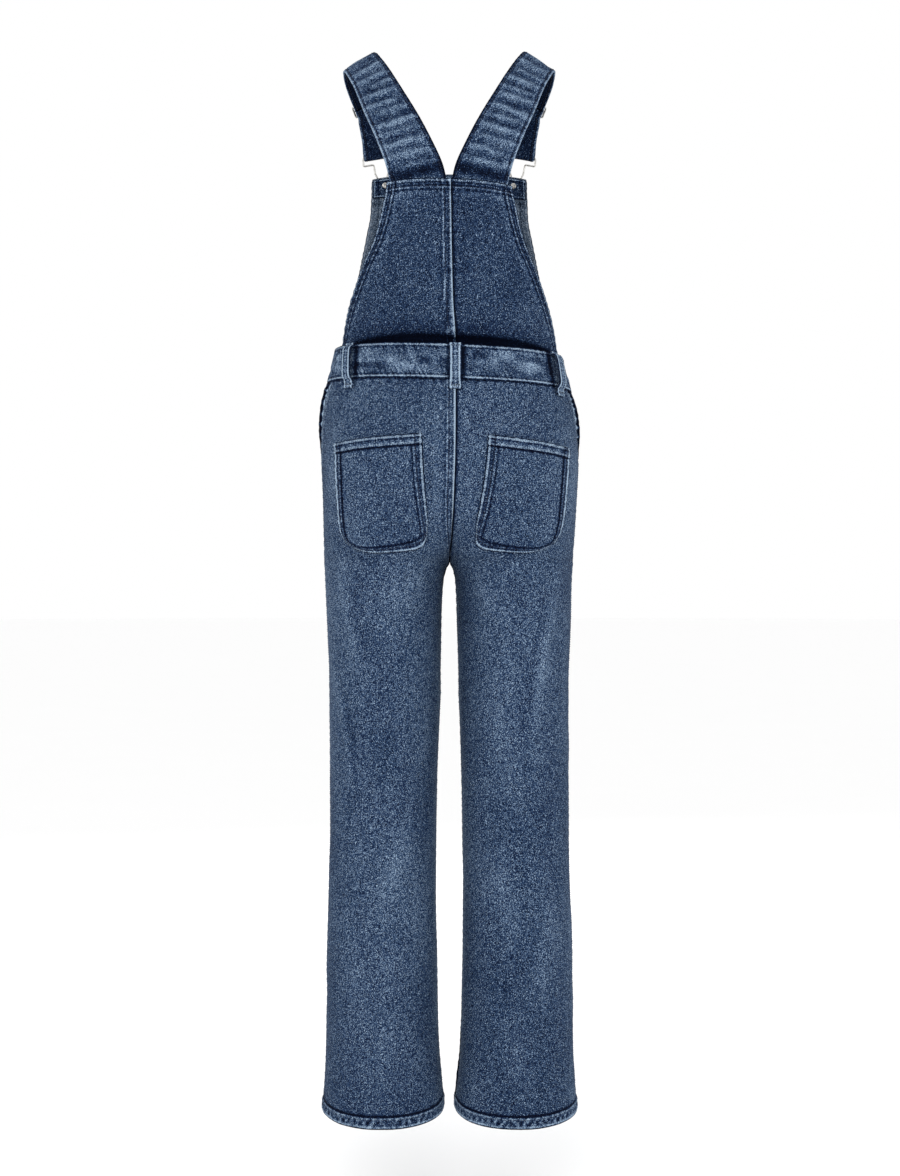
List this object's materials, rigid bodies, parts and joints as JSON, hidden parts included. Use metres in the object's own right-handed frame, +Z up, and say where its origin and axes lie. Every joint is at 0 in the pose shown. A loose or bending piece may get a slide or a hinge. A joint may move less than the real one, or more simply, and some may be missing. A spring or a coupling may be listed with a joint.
{
  "type": "dungarees",
  "caption": "Denim dungarees filled out as worn, open at neck, arms and hems: bib front and back, buckled shoulder straps, waistband, belt loops, back patch pockets and straight cropped legs.",
  "frame": {"origin": "on the centre plane at the height of the shoulders, where the straps rest and the wearer holds the garment up", "axes": "+Z up, along the garment's height; +Y out of the wearer's back, front at -Y; +X towards the wearer's left"},
  "size_m": [0.3465, 0.2735, 1.4235],
  "materials": {
    "denim": "washed mid-blue cotton twill, matt",
    "denim_pale": "the same twill where it has rubbed and washed paler, matt",
    "nickel": "nickel-plated, worn satin"
  },
  "bodies": {
    "root": {"back_bib_left": "denim", "back_bib_right": "denim", "back_leg_left": "denim", "back_leg_right": "denim", "back_pocket_left": "denim", "back_pocket_right": "denim", "belt_loop_centre": "denim_pale", "belt_loop_left": "denim_pale", "belt_loop_right": "denim_pale", "bib_buckle_left": "nickel", "bib_buckle_right": "nickel", "bib_button_left": "nickel", "bib_button_right": "nickel", "bib_tack_left": "nickel", "bib_tack_right": "nickel", "bib_top_band": "denim_pale", "front_bib": "denim", "front_leg_left": "denim", "front_leg_right": "denim", "side_button_left": "nickel", "side_button_right": "nickel", "side_facing_left": "denim_pale", "side_facing_right": "denim_pale", "slider_bar_left": "nickel", "slider_bar_right": "nickel", "slider_left": "nickel", "slider_right": "nickel", "strap_left": "denim_pale", "strap_right": "denim_pale", "waistband_back": "denim_pale", "waistband_front": "denim_pale"}
  },
  "joints": []
}
